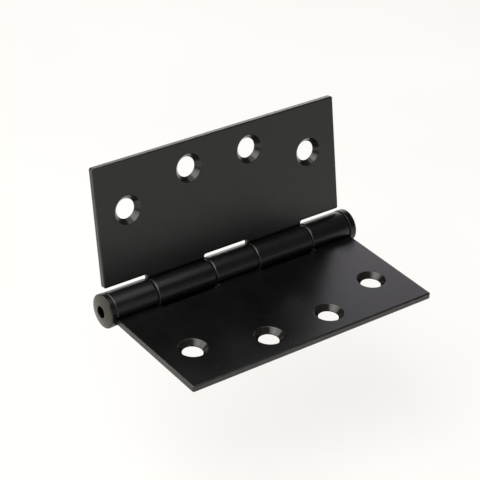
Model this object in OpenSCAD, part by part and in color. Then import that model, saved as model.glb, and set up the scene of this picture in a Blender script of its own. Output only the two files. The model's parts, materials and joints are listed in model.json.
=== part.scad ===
// Full-mortise door hinge with square corners, five plain knuckles and a loose pin.
//
// The origin is on the pin's axis, halfway along the hinge. +X runs along the pin towards its head, which
// is the top of the hinge on a door. The frame leaf lies flat and runs to -Y, with its countersunk face up.
// The door leaf stands open at opening_angle.

/* [Leaves] */
// Length of the hinge along its pin
leaf_height = 101.6; // [84:0.1:125]
// Width of each leaf, from the pin's axis to its free edge
leaf_width = 50.8; // [42:0.1:65]
// Thickness of the leaves, and of the knuckles that are rolled from them
leaf_gauge = 2.2; // [1.8:0.1:3.4]
// Gap between the two leaves when the hinge is closed
closed_gap = 1.4; // [0.8:0.1:2.4]
// Angle between the leaves as they stand, which is 0 when the hinge is closed
opening_angle = 101; // [30:1:180]
// Bevel along the leaves' outer edges
edge_bevel = 0.25; // [0.1:0.05:0.5]

/* [Knuckles] */
// Length of each of the door leaf's two knuckles
door_knuckle = 23.9; // [18:0.1:26]
// Length of the frame leaf's centre knuckle
centre_knuckle = 18.3; // [12:0.1:24]
// Gap between neighbouring knuckles
knuckle_gap = 0.3; // [0.2:0.05:0.6]
// Bevel on the ends of the knuckles
knuckle_bevel = 0.45; // [0.2:0.05:0.8]
// Clearance between a knuckle and the cut-out that it turns in
cutout_clearance = 1.35; // [0.8:0.05:2.5]
// Inside radius of the bend that carries a leaf out to its knuckles
swage_radius = 1; // [0.5:0.1:2]
// Width of the seam where the end of a rolled knuckle meets its leaf
seam_gap = 0.3; // [0.1:0.05:0.6]

/* [Screw holes] */
// Diameter of the straight part of a screw hole
hole_d = 7.2; // [5:0.1:8.5]
// Length of the straight part of a screw hole, behind the countersink
hole_land = 0.35; // [0.2:0.05:0.8]
// Angle of the countersink
countersink_angle = 82; // [78:1:92]
// Distance from the outer holes to the ends of the leaf
outer_hole_end = 12.3; // [8:0.1:16]
// Distance from the outer holes to the leaf's free edge
outer_hole_edge = 18; // [14:0.1:22]
// Distance between the two inner holes
inner_hole_spacing = 25.7; // [16:0.1:32]
// Distance from the inner holes to the leaf's free edge
inner_hole_edge = 10; // [8:0.1:14]

/* [Pin] */
// Diameter of the pin
pin_d = 7.6; // [6:0.1:9.5]
// Radial clearance between the pin and the knuckles
pin_clearance = 0.05; // [0.02:0.01:0.1]
// Bevel on the pin's lower end
pin_bevel = 0.8; // [0.4:0.1:1.5]
// Clearance between the pin's lower end and the tip's stem
pin_end_clearance = 0.8; // [0.3:0.1:2]
// Thickness of the pin's head at its rim
head_rim = 2.6; // [1.5:0.1:4]
// Gap between the pin's head and the top knuckle
head_gap = 0.2; // [0.1:0.05:0.4]
// Length of the knurled band under the pin's head
knurl_length = 10; // [5:0.5:14]
// Depth of the knurl's grooves
knurl_depth = 0.18; // [0.1:0.02:0.3]
// How far the knurl's crests lie inside the surface of the shank
knurl_relief = 0.02; // [0.01:0.01:0.05]
// Number of grooves round the knurl
knurl_count = 36; // [24:1:48]

/* [Buttons] */
// How far the pin's head and the bottom tip stand proud of the knuckles all round
button_overhang = 0.1; // [0:0.05:0.5]
// Height of the domed end of the pin's head and of the bottom tip
crown = 0.8; // [0.4:0.1:1.6]
// Bevel round the rim of the pin's head and of the bottom tip
button_bevel = 0.35; // [0.1:0.05:0.6]

/* [Bottom tip] */
// Thickness of the bottom tip at its rim
tip_rim = 2.1; // [1.2:0.1:3.5]
// Length of the bottom tip's stem, which is pressed into the bottom knuckle
tip_stem = 6; // [4:0.5:8]
// Diameter of the hole through which a punch drives the pin out
punch_hole_d = 4.3; // [3:0.1:5]

/* [Hidden] */
$fn = 96;

// How far a cutter runs past the face that it cuts
past = 1;
// Angle by which a rolled knuckle runs on into the bend, so that the two are one piece
roll_overlap = 2;
// Facets along the bend
swage_steps = 10;

// Levels of a leaf's two faces, and the radii of a knuckle
inner_z = -closed_gap / 2;
back_z = inner_z - leaf_gauge;
bore_r = pin_d / 2 + pin_clearance;
barrel_r = bore_r + leaf_gauge;
cutout_r = barrel_r + cutout_clearance;
button_r = barrel_r + button_overhang;

// Planes where the knuckles start and end, counted from the middle of the hinge
half_height = leaf_height / 2;
centre_end = centre_knuckle / 2;
door_start = centre_end + knuckle_gap;
door_end = door_start + door_knuckle;
outer_start = door_end + knuckle_gap;

FRAME_KNUCKLES = [[-half_height, -outer_start], [-centre_end, centre_end], [outer_start, half_height]];
DOOR_KNUCKLES = [[-door_end, -door_start], [door_start, door_end]];

// The bend is an arc about [swage_y, swage_z] that touches the leaf's back and the outside of the knuckle
swage_z = back_z - swage_radius;
swage_y = -sqrt(pow(barrel_r + swage_radius, 2) - pow(swage_z, 2));
swage_angle = atan2(-swage_z, -swage_y);

// The roll stops short of the leaf's countersunk face by the seam
seam_angle = asin((-inner_z - seam_gap) / barrel_r);

// Screw holes as [distance along the pin, distance from the pin's axis]
outer_hole_x = half_height - outer_hole_end;
SCREW_HOLES = [
    for (side = [-1, 1]) [side * outer_hole_x, leaf_width - outer_hole_edge],
    for (side = [-1, 1]) [side * inner_hole_spacing / 2, leaf_width - inner_hole_edge]
];
countersink_depth = leaf_gauge - hole_land;

// The sphere that crowns a button of radius button_r
crown_sphere_r = (pow(button_r, 2) + pow(crown, 2)) / (2 * crown);

stem_end_x = -half_height + tip_stem;
pin_end_x = stem_end_x + pin_end_clearance;
head_x = half_height + head_gap;
knurl_start_x = head_x - knurl_length;

function arc(r, from, to, steps) = [
    for (i = [0:steps]) let (a = from + (to - from) * i / steps) [r * cos(a), r * sin(a)]
];

function moved(points, by) = [for (p = points) p + by];

// A shape drawn in the plane across the pin, [Y, Z], and drawn out along X from x0 to x1
module along_pin(x0, x1) {
    translate([x0, 0, 0]) rotate([90, 0, 90]) linear_extrude(x1 - x0) children();
}

// A shape drawn as [radius, distance along the pin], and turned about the pin's axis from x onwards
module turned(x) {
    translate([x, 0, 0]) rotate([0, 90, 0]) rotate_extrude() children();
}

// The ring of a knuckle, open on the side of its leaf, where the metal comes in along the bend
module roll(x0, x1) {
    length = x1 - x0;
    difference() {
        turned(x0) polygon([
            [bore_r, 0], [barrel_r - knuckle_bevel, 0], [barrel_r, knuckle_bevel],
            [barrel_r, length - knuckle_bevel], [barrel_r - knuckle_bevel, length], [bore_r, length]
        ]);
        along_pin(x0 - past, x1 + past)
            polygon(concat([[0, 0]], arc(2 * barrel_r, 180 + seam_angle, 180 + swage_angle - roll_overlap, 1)));
    }
}

// The bend from the leaf to a knuckle, with enough flat to run into the leaf
module swage(x0, x1) {
    flat_y = -cutout_r - past;
    along_pin(x0, x1) polygon(concat(
        [[flat_y, back_z]],
        moved(arc(swage_radius, 90, swage_angle, swage_steps), [swage_y, swage_z]),
        moved(arc(swage_radius + leaf_gauge, swage_angle, 90, swage_steps), [swage_y, swage_z]),
        [[flat_y, inner_z]]
    ));
}

module knuckle(x0, x1) {
    roll(x0, x1);
    swage(x0, x1);
}

// The flat of a leaf, from the edge of the cut-outs to the free edge
module plate() {
    intersection() {
        along_pin(-half_height, half_height) polygon([
            [-cutout_r, inner_z],
            [-leaf_width + edge_bevel, inner_z], [-leaf_width, inner_z - edge_bevel],
            [-leaf_width, back_z + edge_bevel], [-leaf_width + edge_bevel, back_z],
            [-cutout_r, back_z]
        ]);
        translate([0, past, 0]) rotate([90, 0, 0]) linear_extrude(leaf_width + 2 * past) polygon([
            [-half_height + edge_bevel, inner_z], [half_height - edge_bevel, inner_z],
            [half_height, inner_z - edge_bevel], [half_height, back_z + edge_bevel],
            [half_height - edge_bevel, back_z], [-half_height + edge_bevel, back_z],
            [-half_height, back_z + edge_bevel], [-half_height, inner_z - edge_bevel]
        ]);
    }
}

// A screw hole at the origin, countersunk from above
module screw_hole() {
    slope = tan(countersink_angle / 2);
    translate([0, 0, -leaf_gauge - past]) cylinder(h = leaf_gauge + 2 * past, d = hole_d);
    translate([0, 0, -countersink_depth]) cylinder(
        h = countersink_depth + past,
        r1 = hole_d / 2,
        r2 = hole_d / 2 + (countersink_depth + past) * slope
    );
}

// A leaf that lies along -Y with its countersunk face up
module leaf(knuckles) {
    difference() {
        union() {
            plate();
            for (k = knuckles) knuckle(k[0], k[1]);
        }
        for (hole = SCREW_HOLES) translate([hole[0], -hole[1], inner_z]) screw_hole();
    }
}

// Half the outline of a domed button of the given rim thickness, as [radius, distance along the pin]
module button_outline(rim) {
    intersection() {
        polygon([
            [0, 0], [button_r - button_bevel, 0], [button_r, button_bevel],
            [button_r, rim - button_bevel], [button_r - button_bevel - crown, rim + crown],
            [0, rim + crown]
        ]);
        translate([0, rim + crown - crown_sphere_r]) circle(crown_sphere_r, $fn = 360);
    }
}

// The shank of the pin, from its lower end to the knurled band
module shank() {
    length = knurl_start_x - pin_end_x;
    radius = pin_d / 2;
    turned(pin_end_x) polygon([
        [0, 0], [radius - pin_bevel, 0], [radius, pin_bevel], [radius, length], [0, length]
    ]);
}

// The knurled band, which runs on into the shank and into the head so that all three are one piece
module knurl() {
    crest_r = pin_d / 2 - knurl_relief;
    along_pin(knurl_start_x - past, head_x + past) polygon([
        for (i = [0:2 * knurl_count - 1])
            let (a = 180 * i / knurl_count, r = crest_r - (i % 2 == 0 ? 0 : knurl_depth))
            [r * cos(a), r * sin(a)]
    ]);
}

module frame_leaf() {
    color("#1c1c1e") leaf(FRAME_KNUCKLES);
}

module door_leaf() {
    color("#232325") rotate([-opening_angle, 0, 0]) mirror([0, 0, 1]) leaf(DOOR_KNUCKLES);
}

module hinge_pin() {
    color("#2b2b2d") {
        shank();
        knurl();
        turned(head_x) button_outline(head_rim);
    }
}

module bottom_tip() {
    color("#2f2f30") difference() {
        union() {
            translate([-half_height, 0, 0]) mirror([1, 0, 0]) turned(0) button_outline(tip_rim);
            turned(-half_height - tip_rim / 2) polygon([
                [0, 0], [bore_r, 0], [bore_r, tip_rim / 2 + tip_stem - pin_bevel],
                [bore_r - pin_bevel, tip_rim / 2 + tip_stem], [0, tip_rim / 2 + tip_stem]
            ]);
        }
        turned(-half_height - tip_rim - crown - past)
            square([punch_hole_d / 2, tip_rim + crown + tip_stem + 2 * past]);
    }
}

frame_leaf();
door_leaf();
hinge_pin();
bottom_tip();
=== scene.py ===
"""A satin black full-mortise door hinge with square corners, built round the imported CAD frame.

Each leaf is made the way the real one is: a flat blank with knuckle tabs and countersunk holes, whose tabs
are then bent out of the leaf's plane and rolled round the pin. The pin and the bottom tip are turned.
The frame leaf lies flat and runs to -Y, and the door leaf is the same kind of leaf, mirrored and swung open.
"""

import json
import math

import bmesh
import bpy
from mathutils import Matrix, Quaternion, Vector


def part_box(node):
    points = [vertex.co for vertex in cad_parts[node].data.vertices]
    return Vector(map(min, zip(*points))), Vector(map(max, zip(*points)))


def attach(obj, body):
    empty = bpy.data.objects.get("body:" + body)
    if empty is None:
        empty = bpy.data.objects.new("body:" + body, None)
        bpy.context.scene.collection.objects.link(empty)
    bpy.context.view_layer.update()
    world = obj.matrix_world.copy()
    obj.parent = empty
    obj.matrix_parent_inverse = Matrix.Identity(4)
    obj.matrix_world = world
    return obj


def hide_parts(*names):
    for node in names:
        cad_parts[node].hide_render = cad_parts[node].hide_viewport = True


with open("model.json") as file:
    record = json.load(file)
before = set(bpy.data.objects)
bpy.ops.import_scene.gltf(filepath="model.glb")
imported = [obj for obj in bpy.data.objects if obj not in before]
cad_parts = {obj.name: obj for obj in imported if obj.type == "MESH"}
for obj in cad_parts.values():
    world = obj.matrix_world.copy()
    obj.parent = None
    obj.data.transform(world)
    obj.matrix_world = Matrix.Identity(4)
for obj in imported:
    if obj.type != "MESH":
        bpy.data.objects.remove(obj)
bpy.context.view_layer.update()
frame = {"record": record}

MM = 0.001
MOUNTS = {mount["name"]: mount for mount in frame["record"]["mounts"]}

# Driving dimensions that no box or mount gives
GAUGE = 2.2 * MM
PIN_CLEARANCE = 0.05 * MM
DOOR_KNUCKLE = 23.9 * MM
CENTRE_KNUCKLE = 18.3 * MM
KNUCKLE_GAP = 0.3 * MM
CUTOUT_CLEARANCE = 1.35 * MM
SWAGE_RADIUS = 1.0 * MM
SEAM_GAP = 0.3 * MM
COUNTERSINK_ANGLE = math.radians(82)
HEAD_GAP = 0.2 * MM
CROWN = 0.8 * MM
PIN_BEVEL = 0.8 * MM
KNURL_LENGTH = 10 * MM
KNURL_DEPTH = 0.18 * MM
KNURL_RELIEF = 0.02 * MM
KNURL_COUNT = 36

# Edges, as the press leaves them and the coat softens them. A pair is how far one reaches along the face
# and into the thickness. The shears round a leaf's countersunk face over and leave its back sharper.
ROLL_OVER = Vector((0.6, 0.27)) * MM
BACK_EDGE = Vector((0.34, 0.12)) * MM
KNUCKLE_EDGE = Vector((0.62, 0.62)) * MM
BORE_EDGE = Vector((0.15, 0.15)) * MM
HOLE_EDGE = 0.12 * MM
BUTTON_EDGE = 0.4 * MM
CORNER_RADIUS = 0.75 * MM
SHEAR_LINE_DEPTH = 0.05 * MM
SHEAR_LINE_WIDTH = 0.3 * MM
# Radius of the flat in the middle of a solid turned end
END_CENTRE = 0.02 * MM
# Width of the flat strip that keeps the shading of a face level right up to its edge
SUPPORT = 0.1 * MM

# Steps along curves
ROLL_STEPS = 96
SWAGE_STEPS = 14
CORNER_STEPS = 6
EDGE_STEPS = 4
HOLE_STEPS = 96
TURNED_STEPS = 144
DOME_STEPS = 12
SHANK_STEPS = 24
KNURL_STEPS = 12

# The frame gives the rest
leaf_low, leaf_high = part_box("frame_leaf")
pin_low, pin_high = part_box("hinge_pin")
tip_low, tip_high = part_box("bottom_tip")

half_height = leaf_high.x
leaf_width = -leaf_low.y
barrel_r = leaf_high.z
bore_r = barrel_r - GAUGE
pin_r = bore_r - PIN_CLEARANCE
button_r = pin_high.z
punch_hole_r = MOUNTS["punch_hole"]["dims"]["r_mm"] * MM
crown_r = (button_r ** 2 + CROWN ** 2) / (2 * CROWN)
half_gauge = GAUGE / 2
back_z = MOUNTS["frame_leaf_back"]["pos_m"][2]
inner_z = back_z + GAUGE
door_back_axis = MOUNTS["door_leaf_back"]["axis"]
opening_angle = math.atan2(door_back_axis[1], door_back_axis[2])

# Where the knuckles start and end along the pin
centre_end = CENTRE_KNUCKLE / 2
door_start = centre_end + KNUCKLE_GAP
door_end = door_start + DOOR_KNUCKLE
outer_start = door_end + KNUCKLE_GAP
frame_tabs = [(-half_height, -outer_start), (-centre_end, centre_end), (outer_start, half_height)]
door_tabs = [(-door_end, -door_start), (door_start, door_end)]

# The line that the middle of the metal follows: flat, bent down, then rolled up round the pin
swage_z = back_z - SWAGE_RADIUS
swage_y = -math.sqrt((barrel_r + SWAGE_RADIUS) ** 2 - swage_z ** 2)
swage_angle = math.atan2(-swage_z, -swage_y)
seam_angle = math.asin((-inner_z - SEAM_GAP) / barrel_r)
swage_mid_r = SWAGE_RADIUS + half_gauge
roll_mid_r = bore_r + half_gauge
flat_length = leaf_width + swage_y
swage_length = swage_mid_r * (math.pi / 2 - swage_angle)
roll_length = roll_mid_r * (2 * math.pi - swage_angle + seam_angle)
roll_start = flat_length + swage_length
blank_length = roll_start + roll_length
cutout_s = leaf_width - barrel_r - CUTOUT_CLEARANCE


# ---------------------------------------------------------------- shapes

def arc(centre, radius, start, end, steps):
    """Points along an arc in a plane, both ends included."""
    angles = [start + (end - start) * i / steps for i in range(steps + 1)]
    return [(centre[0] + radius * math.cos(a), centre[1] + radius * math.sin(a)) for a in angles]


def smooth_step(value, low, high):
    """0 below low, 1 above high, and a smooth step in between."""
    t = min(1.0, max(0.0, (value - low) / (high - low)))
    return t * t * (3 - 2 * t)


def bent(x, s, w):
    """The place of a point of the flat blank once the tabs are rolled.

    s runs from the free edge to the end of the tabs. w runs from the middle of the metal to the
    countersunk face, which becomes the knuckle's bore."""
    if s <= flat_length:
        return Vector((x, s - leaf_width, inner_z - half_gauge + w))
    if s <= roll_start:
        angle = math.pi / 2 - (s - flat_length) / swage_mid_r
        radius = swage_mid_r + w
        return Vector((x, swage_y + radius * math.cos(angle), swage_z + radius * math.sin(angle)))
    angle = math.pi + swage_angle + (s - roll_start) / roll_mid_r
    radius = roll_mid_r - w
    return Vector((x, radius * math.cos(angle), radius * math.sin(angle)))


def tab_rows():
    """The distances at which a tab's straight sides have points, from the bend to the last corner."""
    straight = roll_length - CORNER_RADIUS
    swage_rows = [flat_length + swage_length * i / SWAGE_STEPS for i in range(SWAGE_STEPS)]
    roll_rows = [roll_start + straight * i / ROLL_STEPS for i in range(ROLL_STEPS)]
    return swage_rows + roll_rows


def blank_corners(tabs):
    """The corners of the blank, counter-clockwise from the free edge's low end."""
    shoulders = [(-half_height, cutout_s)] if tabs[0][0] > -half_height else []
    corners = [(-half_height, 0), (half_height, 0)] + [(-x, s) for x, s in shoulders]
    for x0, x1 in reversed(tabs):
        corners += [(x1, cutout_s)] if x1 < half_height else []
        corners += [(x1, blank_length), (x0, blank_length)]
        corners += [(x0, cutout_s)] if x0 > -half_height else []
    return [Vector(corner) for corner in corners + shoulders]


def blank_outline(tabs):
    """The blank's outline with rounded corners, as (point, direction into the metal) pairs."""
    corners = blank_corners(tabs)
    rows = tab_rows()
    outline = []
    for i, corner in enumerate(corners):
        following = corners[(i + 1) % len(corners)]
        before = (corner - corners[i - 1]).normalized()
        after = (following - corner).normalized()
        side = 1 if before.cross(after) > 0 else -1
        centre = corner + CORNER_RADIUS * (after - before)
        outward = (corner + CORNER_RADIUS * -before) - centre
        start = math.atan2(outward.y, outward.x)
        for point in arc(centre, CORNER_RADIUS, start, start + side * math.pi / 2, CORNER_STEPS):
            outline.append((Vector(point), side * (centre - Vector(point)).normalized()))
        if abs(after.y) > 0.5 and max(corner.y, following.y) > flat_length:
            inward = Vector((-after.y, after.x))
            for s in rows if after.y > 0 else reversed(rows):
                outline.append((Vector((corner.x, s)), inward))
    return outline


def rim_profile(s):
    """The section of the blank's edge, as (distance into the metal, level) pairs.

    It starts at the countersunk face and ends at the back."""
    knuckle = smooth_step(s, cutout_s, roll_start)
    inner_edge = ROLL_OVER.lerp(BORE_EDGE, knuckle)
    outer_edge = BACK_EDGE.lerp(KNUCKLE_EDGE, knuckle)
    deepest = KNUCKLE_EDGE.x + SUPPORT
    inner = [
        (inner_edge.x * (1 + x), half_gauge - inner_edge.y * (1 - y))
        for x, y in arc((0, 0), 1, math.pi / 2, math.pi, EDGE_STEPS)
    ]
    outer = [
        (outer_edge.x * (1 + x), outer_edge.y * (1 + y) - half_gauge)
        for x, y in arc((0, 0), 1, math.pi, 1.5 * math.pi, EDGE_STEPS)
    ]
    shear_line = [(0, SHEAR_LINE_WIDTH / 2), (SHEAR_LINE_DEPTH, 0), (0, -SHEAR_LINE_WIDTH / 2)]
    return [(deepest, half_gauge), *inner, *shear_line, *outer, (deepest, -half_gauge)]


def hole_profile(hole_r, land):
    """The section of a countersunk hole, as (radius, level, edge, machined) rows.

    It starts at the countersunk face and ends at the back."""
    slope = math.tan(COUNTERSINK_ANGLE / 2)
    mouth_r = hole_r + (GAUGE - land) * slope
    throat = land - half_gauge
    up_cone = Vector((slope, 1)).normalized() * HOLE_EDGE
    # Each corner is broken by facets within twice HOLE_EDGE of it
    return [
        (mouth_r + HOLE_EDGE + SUPPORT, half_gauge, 0, 0),
        (mouth_r + HOLE_EDGE, half_gauge, 0, 0),
        (mouth_r + 0.3 * HOLE_EDGE, half_gauge - 0.15 * HOLE_EDGE, 1, 0),
        (mouth_r - up_cone.x, half_gauge - up_cone.y, 0, 1),
        (mouth_r - 2 * up_cone.x, half_gauge - 2 * up_cone.y, 0, 1),
        (hole_r + 1.2 * up_cone.x, throat + 1.2 * up_cone.y, 0, 1),
        (hole_r + 0.4 * up_cone.x, throat + 0.4 * up_cone.y, 1, 1),
        (hole_r, throat - 0.3 * HOLE_EDGE, 1, 0),
        (hole_r, throat - 0.6 * HOLE_EDGE, 0, 0),
        (hole_r, HOLE_EDGE - half_gauge, 0, 0),
        (hole_r + 0.3 * HOLE_EDGE, 0.3 * HOLE_EDGE - half_gauge, 1, 0),
        (hole_r + HOLE_EDGE, -half_gauge, 0, 0),
        (hole_r + HOLE_EDGE + SUPPORT, -half_gauge, 0, 0),
    ]


def screw_holes():
    """Every screw hole of a leaf, as (x, s, radius, length of its straight part)."""
    holes = []
    for name in ("frame_leaf_outer_screws", "frame_leaf_inner_screws"):
        _, y, z = MOUNTS[name]["pos_m"]
        dims = MOUNTS[name]["dims"]
        reach = dims["spacing_x_mm"] * MM / 2
        hole_r = dims["hole_r_mm"] * MM
        land = 2 * (z - back_z)
        holes += [(x, leaf_width + y, hole_r, land) for x in (-reach, reach)]
    return holes


def new_mesh():
    """An empty mesh, with what its material reads at each vertex.

    edge is 1 on edges, where the coat wears, machined is 1 where a cutter left rings, and turning is the
    distance from the middle of those rings, in metres."""
    bm = bmesh.new()
    layers = {name: bm.verts.layers.float.new(name) for name in ("edge", "machined", "turning")}
    return bm, layers


def strip(bm, first, second, closed):
    """Quads between two rows of vertices."""
    for i in range(len(first) if closed else len(first) - 1):
        j = (i + 1) % len(first)
        bm.faces.new((first[i], first[j], second[j], second[i]))


def link(obj):
    """Puts a new object in the scene."""
    bpy.context.scene.collection.objects.link(obj)


def loop_edges(bm, chain):
    """The edges round a closed row of vertices, made where they are missing."""
    return [bm.edges.get(pair) or bm.edges.new(pair) for pair in zip(chain, chain[1:] + chain[:1])]


def make_piece(name, bm, body, node, material):
    """Turns a closed mesh into a smooth piece that stands for a CAD node and rides on its body."""
    bmesh.ops.recalc_face_normals(bm, faces=bm.faces)
    if bm.calc_volume(signed=True) < 0:
        bmesh.ops.reverse_faces(bm, faces=bm.faces)
    mesh = bpy.data.meshes.new(name)
    bm.to_mesh(mesh)
    bm.free()
    mesh.polygons.foreach_set("use_smooth", [True] * len(mesh.polygons))
    mesh.materials.append(material)
    piece = bpy.data.objects.new(name, mesh)
    link(piece)
    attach(piece, body)
    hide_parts(node)
    return piece


def punched_hole(bm, layers, x, s, radius, land):
    """The walls of one screw hole. Returns its rings of vertices from the countersunk face to the back."""
    rings = []
    for r, level, edge, machined in hole_profile(radius, land):
        ring = []
        for at in arc((x, s), r, 0, 2 * math.pi, HOLE_STEPS)[:-1]:
            vert = bm.verts.new((*at, level))
            vert[layers["edge"]] = edge
            vert[layers["machined"]] = machined
            vert[layers["turning"]] = r
            ring.append(vert)
        rings.append(ring)
    for first, second in zip(rings, rings[1:]):
        strip(bm, first, second, closed=True)
    return rings


def leaf(name, tabs, place, body, node, material):
    """A leaf with its knuckles. place carries it from where the frame leaf lies to where it stands."""
    bm, layers = new_mesh()
    outline = blank_outline(tabs)
    rims = []
    for point, inward in outline:
        rim = []
        for depth, level in rim_profile(point.y):
            vert = bm.verts.new((*(point + depth * inward), level))
            vert[layers["edge"]] = float(depth < ROLL_OVER.x / 2)
            rim.append(vert)
        rims.append(rim)
    for i, rim in enumerate(rims):
        strip(bm, rims[i - 1], rim, closed=False)
    holes = [punched_hole(bm, layers, *hole) for hole in screw_holes()]

    # Both faces: a ladder up each tab, then the plate with its holes
    on_plate = [point.y < flat_length for point, _ in outline]
    bases = set()
    for x0, x1 in tabs:
        middle = (x0 + x1) / 2
        sides = {-1: [], 1: []}
        for i, (point, _) in enumerate(outline):
            if not on_plate[i] and abs(point.x - middle) < (x1 - x0) / 2 + KNUCKLE_GAP:
                sides[1 if point.x > middle else -1].append(i)
        low, high = (sorted(sides[side], key=lambda i: outline[i][0].y) for side in (-1, 1))
        bases |= {low[0], high[0]}
        for face in (0, -1):
            strip(bm, [rims[i][face] for i in low], [rims[i][face] for i in high], closed=False)
    for face in (0, -1):
        border = [rim[face] for i, rim in enumerate(rims) if on_plate[i] or i in bases]
        edges = loop_edges(bm, border)
        for rings in holes:
            edges += loop_edges(bm, rings[face])
        bmesh.ops.triangle_fill(bm, edges=edges, use_beauty=True, normal=(0, 0, 1))

    for vert in bm.verts:
        vert.co = place @ bent(*vert.co)
    return make_piece(name, bm, body, node, material)


def turned(bm, layers, profile, closed):
    """A turned surface about the pin's axis from (x, radius, edge, machined) rows.

    A radius may be a function of the angle, as round the knurl. A closed section makes a ring, and any
    other is capped at both ends."""
    rings = []
    for x, radius, edge, machined in profile:
        ring = []
        for i in range(TURNED_STEPS):
            angle = 2 * math.pi * i / TURNED_STEPS
            r = radius(angle) if callable(radius) else radius
            vert = bm.verts.new((x, r * math.cos(angle), r * math.sin(angle)))
            vert[layers["edge"]] = edge
            vert[layers["machined"]] = machined
            vert[layers["turning"]] = r
            ring.append(vert)
        rings.append(ring)
    for first, second in zip(rings, rings[1:] + (rings[:1] if closed else [])):
        strip(bm, first, second, closed=True)
    if not closed:
        bm.faces.new(rings[0])
        bm.faces.new(rings[-1])


def dome_drop(radius):
    """How far a button's dome has fallen at a radius, from its height on the axis."""
    return crown_r - math.sqrt(crown_r ** 2 - radius ** 2)


def button_profile(rim, inner_r):
    """The outside of a domed button, as (level, radius, edge, machined) rows.

    It starts on its flat side and ends on the dome, at inner_r."""
    small = BUTTON_EDGE / 2
    crown_level = rim + CROWN - crown_r
    fillet_r = button_r - BUTTON_EDGE
    fillet_level = crown_level + math.sqrt((crown_r - BUTTON_EDGE) ** 2 - fillet_r ** 2)
    fillet_end = math.atan2(fillet_level - crown_level, fillet_r)
    dome_end = math.acos(inner_r / crown_r)
    flat = [(0, pin_r + SUPPORT, 0, 0), (0, button_r - small - SUPPORT, 0, 0)]
    lower = [(x, r, 1, 0) for x, r in arc((small, button_r - small), small, math.pi, math.pi / 2, EDGE_STEPS)]
    side = [(small + SUPPORT, button_r, 0, 0), (fillet_level - SUPPORT, button_r, 0, 0)]
    fillet = [
        (x, r, 1, 0)
        for r, x in arc((fillet_r, fillet_level), BUTTON_EDGE, 0, fillet_end, 2 * EDGE_STEPS)
    ]
    dome = [
        (x, r, 0, 1)
        for r, x in arc((0, crown_level), crown_r, fillet_end, dome_end, DOME_STEPS)[1:]
    ]
    return flat + lower + side + fillet + dome


def hinge_pin(material):
    """The pin: a bevelled end, the shank, the knurled band and the domed head."""
    bm, layers = new_mesh()
    end = pin_low.x
    bevel_end = end + PIN_BEVEL
    head_x = half_height + HEAD_GAP
    knurl_start = head_x - KNURL_LENGTH
    knurl_end = head_x - 2 * SUPPORT
    crest_r = pin_r - KNURL_RELIEF

    def grooved(angle):
        """The knurl's radius at an angle."""
        return crest_r - KNURL_DEPTH * (0.5 - 0.5 * math.cos(KNURL_COUNT * angle))

    profile = [
        (end, END_CENTRE, 0, 1),
        (end, pin_r - PIN_BEVEL - SUPPORT, 0, 1),
        (end + SUPPORT / 2, pin_r - PIN_BEVEL + SUPPORT / 2, 1, 0),
        (bevel_end - SUPPORT / 2, pin_r - SUPPORT / 2, 1, 0),
        (bevel_end + SUPPORT, pin_r, 0, 0),
    ]
    shank_start = bevel_end + 2 * SUPPORT
    shank_end = knurl_start - 2 * SUPPORT
    for i in range(SHANK_STEPS + 1):
        profile.append((shank_start + (shank_end - shank_start) * i / SHANK_STEPS, pin_r, 0, 0))
    for i in range(KNURL_STEPS + 1):
        profile.append((knurl_start + (knurl_end - knurl_start) * i / KNURL_STEPS, grooved, 0, 0))
    profile.append((head_x - SUPPORT, pin_r - KNURL_DEPTH, 0, 0))
    head_rim = pin_high.x - CROWN - head_x
    profile += [(head_x + level, *rest) for level, *rest in button_profile(head_rim, END_CENTRE)]
    turned(bm, layers, profile, closed=False)
    return make_piece("hinge_pin_turned", bm, "loose_pin", "hinge_pin", material)


def bottom_tip(material):
    """The tip: a domed button with a hole for a punch, and the stem that is pressed into the knuckle."""
    bm, layers = new_mesh()
    stem_r = bore_r - KNURL_RELIEF
    stem_end = tip_high.x
    tip_rim = -half_height - tip_low.x - CROWN + dome_drop(punch_hole_r)
    mouth = button_profile(tip_rim, punch_hole_r + HOLE_EDGE)
    mouth_level = mouth[-1][0]
    profile = [
        (stem_end, punch_hole_r + SUPPORT, 0, 0),
        (stem_end, stem_r - PIN_BEVEL, 0, 0),
        (stem_end - PIN_BEVEL, stem_r, 0, 0),
        (-half_height + SUPPORT, stem_r, 0, 0),
    ]
    profile += [(-half_height - level, *rest) for level, *rest in mouth]
    profile += [
        (-half_height - mouth_level + 0.3 * HOLE_EDGE, punch_hole_r + 0.3 * HOLE_EDGE, 1, 0),
        (-half_height - mouth_level + HOLE_EDGE, punch_hole_r, 0, 0),
        (-half_height - mouth_level + HOLE_EDGE + SUPPORT, punch_hole_r, 0, 0),
        (stem_end - SUPPORT, punch_hole_r, 0, 0),
    ]
    turned(bm, layers, profile, closed=True)
    return make_piece("bottom_tip_turned", bm, "frame_side", "bottom_tip", material)


# ---------------------------------------------------------------- materials

# Features per metre of the coat's noises
CLOUDS = 55
SMEARS = 260
PEEL = 1300
STREAKS = 2200
GRAIN = 5200
RINGS = 5200
# How deep its reliefs are
PEEL_DEPTH = 0.012 * MM
GRAIN_DEPTH = 0.004 * MM
RING_DEPTH = 0.01 * MM
# Its colour drifts from dark to light, and it is thin and browner where an edge has been rubbed
COAT_DARK = (0.0005, 0.0005, 0.0005, 1)
COAT_LIGHT = (0.0012, 0.0012, 0.0011, 1)
WORN = (0.022, 0.020, 0.014, 1)
# Its roughness, and how much less rough it is on rubbed edges and where a cutter has been
COAT_ROUGHNESS = 0.30
RUBBED_GLOSS = 0.05
CUT_GLOSS = 0.10


def node_tree(owner):
    """The emptied node tree of a material or a world."""
    owner.use_nodes = True
    owner.node_tree.nodes.clear()
    return owner.node_tree


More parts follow.
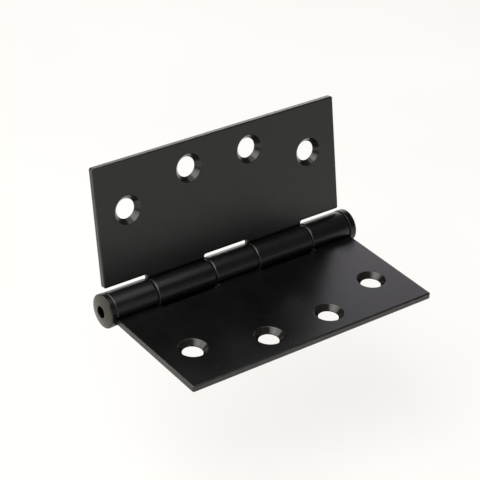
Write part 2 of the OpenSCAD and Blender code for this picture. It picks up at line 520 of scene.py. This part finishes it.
def add(tree, kind, settings=None, **inputs):
    """A new node. settings are its properties, and inputs are its sockets' values or links."""
    made = tree.nodes.new(kind)
    for key, value in (settings or {}).items():
        setattr(made, key, value)
    for key, value in inputs.items():
        socket = made.inputs[int(key[1:])] if key[1:].isdigit() else made.inputs[key.replace("_", " ")]
        if isinstance(value, bpy.types.NodeSocket):
            tree.links.new(value, socket)
        else:
            socket.default_value = value
    return made


def math_node(tree, operation, first, second):
    """A Math node's result."""
    return add(tree, "ShaderNodeMath", {"operation": operation}, i0=first, i1=second).outputs[0]


def mixed(tree, share, first, second):
    """A colour between first and second, by a share that may change over the surface."""
    return add(tree, "ShaderNodeMix", {"data_type": "RGBA"}, i0=share, i6=first, i7=second).outputs[2]


def bump(tree, height, depth, strength, under=None):
    """A relief of a given depth, laid over the one under it if there is one."""
    made = add(tree, "ShaderNodeBump", Strength=strength, Distance=depth, Height=height)
    if under is not None:
        tree.links.new(under, made.inputs["Normal"])
    return made.outputs[0]


def noise(tree, place, scale, detail=2.0, roughness=0.5):
    """A noise texture, with features of about 1/scale metres."""
    made = add(tree, "ShaderNodeTexNoise", Vector=place, Scale=scale, Detail=detail, Roughness=roughness)
    return made.outputs["Fac"]


def spread(tree, value, low, high, from_low=0.3, from_high=0.7):
    """A value carried from the range from_low to from_high to the range low to high, and held inside it.

    Most of a noise lies between 0.3 and 0.7."""
    made = add(tree, "ShaderNodeMapRange", i0=value, i1=from_low, i2=from_high, i3=low, i4=high)
    return made.outputs["Result"]


def attribute(tree, name):
    """What a mesh holds at each vertex under a name."""
    return add(tree, "ShaderNodeAttribute", {"attribute_name": name}).outputs["Fac"]


def finish_tree(tree, kind, shader):
    """Sends a shader to the output of a material's or a world's tree."""
    output = add(tree, kind)
    tree.links.new(shader.outputs[0], output.inputs["Surface"])


def black_coat(name, cut, ior, rub=0.0):
    """Satin black coat over steel.

    cut is its colour where a cutter has been. rub is how much of the whole surface is polished in streaks
    along the pin."""
    material = bpy.data.materials.new(name)
    tree = node_tree(material)
    place = add(tree, "ShaderNodeTexCoord").outputs["Object"]
    cloud = noise(tree, place, CLOUDS, 3.0)
    smear = noise(tree, place, SMEARS, 4.0, 0.6)
    grain = noise(tree, place, GRAIN, 2.0)
    peel = noise(tree, place, PEEL, 1.0)
    edge = attribute(tree, "edge")
    machined = attribute(tree, "machined")
    turning = attribute(tree, "turning")

    # Colour: slow clouding and fine speckle, then what a cutter left, then the rubbed edges
    shade = math_node(tree, "ADD", spread(tree, cloud, 0, 0.7), spread(tree, grain, 0, 0.3))
    colour = mixed(tree, shade, COAT_DARK, COAT_LIGHT)
    colour = mixed(tree, machined, colour, cut)
    rubbed = math_node(tree, "MULTIPLY", edge, spread(tree, smear, 0.25, 1.0, 0.4, 0.65))
    colour = mixed(tree, rubbed, colour, WORN)

    # Roughness: it drifts a little, and rubbed edges and what a cutter left are smoother
    gloss = math_node(tree, "ADD", spread(tree, cloud, -0.035, 0.035), spread(tree, smear, -0.02, 0.02))
    gloss = math_node(tree, "ADD", gloss, COAT_ROUGHNESS)
    gloss = math_node(tree, "SUBTRACT", gloss, math_node(tree, "MULTIPLY", rubbed, RUBBED_GLOSS))
    gloss = math_node(tree, "SUBTRACT", gloss, math_node(tree, "MULTIPLY", machined, CUT_GLOSS))
    if rub:
        stretched = add(tree, "ShaderNodeMapping", {"vector_type": "TEXTURE"}, Vector=place, Scale=(12, 1, 1))
        streak = noise(tree, stretched.outputs[0], STREAKS, 3.0)
        gloss = math_node(tree, "SUBTRACT", gloss, spread(tree, streak, 0, rub))

    # Relief: the coat's orange peel and grain, and a cutter's rings in the countersinks and on the buttons
    rings = add(tree, "ShaderNodeTexNoise", {"noise_dimensions": "1D"}, W=turning, Scale=RINGS, Detail=2.0)
    rings = math_node(tree, "MULTIPLY", rings.outputs["Fac"], machined)
    relief = bump(tree, peel, PEEL_DEPTH, 0.35)
    relief = bump(tree, grain, GRAIN_DEPTH, 0.3, relief)
    relief = bump(tree, rings, RING_DEPTH, 0.5, relief)

    shader = add(tree, "ShaderNodeBsdfPrincipled", Base_Color=colour, Roughness=gloss, Normal=relief)
    shader.inputs["IOR"].default_value = ior
    finish_tree(tree, "ShaderNodeOutputMaterial", shader)
    return material


def lit_floor():
    """Pale acrylic over a light box. It takes only a faint shadow, and glows less to the front right, which
    is painted shade.
    """
    material = bpy.data.materials.new("pale_floor")
    tree = node_tree(material)
    place = add(tree, "ShaderNodeTexCoord").outputs["Object"]
    shade = spread(tree, noise(tree, place, FLOOR_CLOUDS, 2.0), FLOOR_DARK, FLOOR_LIGHT)
    colour = add(tree, "ShaderNodeCombineColor", i0=shade, i1=shade, i2=shade)
    shader = add(tree, "ShaderNodeBsdfPrincipled", Base_Color=colour.outputs[0])
    shader.inputs["Roughness"].default_value = 0.9
    shader.inputs["Specular IOR Level"].default_value = 0.0
    shader.inputs["Emission Color"].default_value = (*WARM_WHITE, 1)
    apart = add(tree, "ShaderNodeSeparateXYZ", Vector=place).outputs
    along_x = math_node(tree, "MULTIPLY", apart["X"], PAINTED_SHADE_TOWARD.x)
    along_y = math_node(tree, "MULTIPLY", apart["Y"], PAINTED_SHADE_TOWARD.y)
    away = math_node(tree, "ADD", along_x, along_y)
    # The fall of the floor's light towards the front right is painted shade
    glow_and_painted_shade = spread(tree, away, NEAR_GLOW, FAR_GLOW_PAINTED_SHADE, NEAR_END, FAR_START)
    tree.links.new(glow_and_painted_shade, shader.inputs["Emission Strength"])
    finish_tree(tree, "ShaderNodeOutputMaterial", shader)
    return material


def painted_shade_cloth():
    """Black cloth, which sends almost nothing back, for the painted shade under the hinge."""
    material = bpy.data.materials.new("black_painted_shade_flag")
    tree = node_tree(material)
    cloth = add(tree, "ShaderNodeBsdfDiffuse", Color=(0.002, 0.002, 0.002, 1))
    finish_tree(tree, "ShaderNodeOutputMaterial", cloth)
    return material


# ---------------------------------------------------------------- the hinge

leaf_coat = black_coat("satin_black_leaf", cut=(0.006, 0.0055, 0.004, 1), ior=1.5)
pin_coat = black_coat("satin_black_pin", cut=(0.004, 0.004, 0.003, 1), ior=1.42, rub=0.06)
tip_coat = black_coat("satin_black_tip", cut=(0.028, 0.024, 0.016, 1), ior=1.38)

lie_flat = Matrix.Identity(4)
stand_open = Matrix.Rotation(-opening_angle, 4, "X") @ Matrix.Scale(-1, 4, (0, 0, 1))
leaf("frame_leaf_formed", frame_tabs, lie_flat, "frame_side", "frame_leaf", leaf_coat)
leaf("door_leaf_formed", door_tabs, stand_open, "door_side", "door_leaf", leaf_coat)
hinge_pin(pin_coat)
bottom_tip(tip_coat)


# ---------------------------------------------------------------- studio

WARM_WHITE = (1.0, 0.985, 0.95)
VIOLET_WHITE = (0.98, 0.93, 1.0)

# The floor lies below the lowest point that the door leaf reaches when it swings right round
FLOOR_Z = -leaf_width - 3 * MM
FLOOR_SIZE = 6.0
FLOOR_CELLS = 24
FLOOR_CLOUDS = 9
FLOOR_DARK = 0.15
FLOOR_LIGHT = 0.17
# Towards the front right its light is NEAR_GLOW up to NEAR_END, and has fallen to the far level below at
# FAR_START; this fall is painted shade on the floor
PAINTED_SHADE_TOWARD = Vector((0.8, -0.6))
NEAR_GLOW = 0.80
FAR_GLOW_PAINTED_SHADE = 0.64
NEAR_END = 0.18
FAR_START = 0.45

# The black sheet of painted shade hangs under the frame leaf and stops short of the barrel
PAINTED_SHADE_Z = -4 * MM
PAINTED_SHADE_INSET = 4.6 * MM

# The room is bright up to a little above the horizon, by the height of a direction, and dark above that
ROOM_DARK = 0.12
BRIGHT_END = 0.02
DARK_START = 0.14

# The camera stands to the left of the hinge and above it, and leans by a few degrees
LENS_MM = 130.05
SENSOR_MM = 36
CAMERA_AZIMUTH = -37.92
CAMERA_ELEVATION = 31.92
CAMERA_ROLL = 3.14
CAMERA_DISTANCE = 615.3 * MM
CAMERA_AIM = Vector((5.82, 1.90, 8.15)) * MM


def direction(azimuth, elevation):
    """The way from the hinge to a place, by its angles in degrees.

    Azimuth 0 is on the -Y side and 90 on the +X side."""
    a, e = math.radians(azimuth), math.radians(elevation)
    return Vector((math.sin(a) * math.cos(e), -math.cos(a) * math.cos(e), math.sin(e)))


def pale_floor():
    """The floor of the studio, under the hinge."""
    bm = bmesh.new()
    bmesh.ops.create_grid(bm, x_segments=FLOOR_CELLS, y_segments=FLOOR_CELLS, size=FLOOR_SIZE / 2)
    mesh = bpy.data.meshes.new("floor")
    bm.to_mesh(mesh)
    bm.free()
    mesh.materials.append(lit_floor())
    floor = bpy.data.objects.new("floor", mesh)
    floor.location.z = FLOOR_Z
    link(floor)


def area_light(name, width, depth, radiance):
    """An area light that the camera doesn't see, by the radiance of its face."""
    light = bpy.data.lights.new(name, "AREA")
    light.shape = "RECTANGLE"
    light.size = width
    light.size_y = depth
    light.energy = radiance * math.pi * width * depth
    lamp = bpy.data.objects.new(name, light)
    lamp.visible_camera = False
    link(lamp)
    return lamp


def softbox(name, azimuth, elevation, distance, size, radiance, colour):
    """A square light that looks at the hinge, placed by its angles in degrees."""
    lamp = area_light(name, size, size, radiance)
    lamp.data.color = colour
    away = direction(azimuth, elevation)
    lamp.location = away * distance
    lamp.rotation_mode = "QUATERNION"
    lamp.rotation_quaternion = away.to_track_quat("Z", "Y")


def card(name, centre, width, depth, tilt, radiance):
    """A small light close to the hinge. It faces down, or tilts about X toward +Y."""
    lamp = area_light(name, width, depth, radiance)
    lamp.location = centre
    lamp.rotation_euler.x = tilt


def black_painted_shade_flag():
    """A black sheet under the frame leaf, which keeps the lit floor out of the dark slots beside the barrel.
    It is painted shade, standing for the shade just under the hinge.

    The camera doesn't see it and it throws no shadow: it shows only in reflections."""
    mesh = bpy.data.meshes.new("painted_shade_sheet")
    x, free_end, barrel_end = half_height, -leaf_width, -PAINTED_SHADE_INSET
    corners = [(-x, free_end, 0), (x, free_end, 0), (x, barrel_end, 0), (-x, barrel_end, 0)]
    mesh.from_pydata(corners, [], [(0, 1, 2, 3)])
    mesh.materials.append(painted_shade_cloth())
    painted_shade_sheet = bpy.data.objects.new("painted_shade_sheet", mesh)
    painted_shade_sheet.location.z = PAINTED_SHADE_Z
    painted_shade_sheet.visible_camera = False
    painted_shade_sheet.visible_shadow = False
    painted_shade_sheet.visible_diffuse = False
    link(painted_shade_sheet)


def dark_room():
    """The world round the studio."""
    world = bpy.data.worlds.new("studio")
    bpy.context.scene.world = world
    tree = node_tree(world)
    toward = add(tree, "ShaderNodeTexCoord").outputs["Generated"]
    height = add(tree, "ShaderNodeSeparateXYZ", Vector=toward).outputs["Z"]
    room = spread(tree, height, 1.0, ROOM_DARK, BRIGHT_END, DARK_START)
    background = add(tree, "ShaderNodeBackground", Color=(1, 1, 1, 1), Strength=room)
    finish_tree(tree, "ShaderNodeOutputWorld", background)


def set_camera():
    """The scene's camera, with no depth of field and no shift."""
    camera_data = bpy.data.cameras.new("camera")
    camera_data.sensor_width = SENSOR_MM
    camera_data.lens = LENS_MM
    camera_data.clip_start = 0.05
    camera_data.clip_end = 20
    camera = bpy.data.objects.new("camera", camera_data)
    toward_camera = direction(CAMERA_AZIMUTH, CAMERA_ELEVATION)
    camera.location = CAMERA_AIM + toward_camera * CAMERA_DISTANCE
    lean = Quaternion((0, 0, 1), math.radians(CAMERA_ROLL))
    camera.rotation_mode = "QUATERNION"
    camera.rotation_quaternion = toward_camera.to_track_quat("Z", "Y") @ lean
    link(camera)
    bpy.context.scene.camera = camera


pale_floor()
softbox("key_left", -104, 49, distance=1.0, size=1.6, radiance=3.0, colour=WARM_WHITE)
softbox("back_right", 137, 15, distance=1.3, size=0.96, radiance=1.5, colour=VIOLET_WHITE)
card("overhead", (-0.16, -0.05, 0.30), width=0.60, depth=0.20, tilt=0, radiance=1.3)
card("front", (0.0, -0.33, 0.14), width=0.30, depth=0.16, tilt=math.pi / 2, radiance=0.6)
black_painted_shade_flag()
dark_room()
bpy.context.scene.view_settings.view_transform = "Standard"
set_camera()
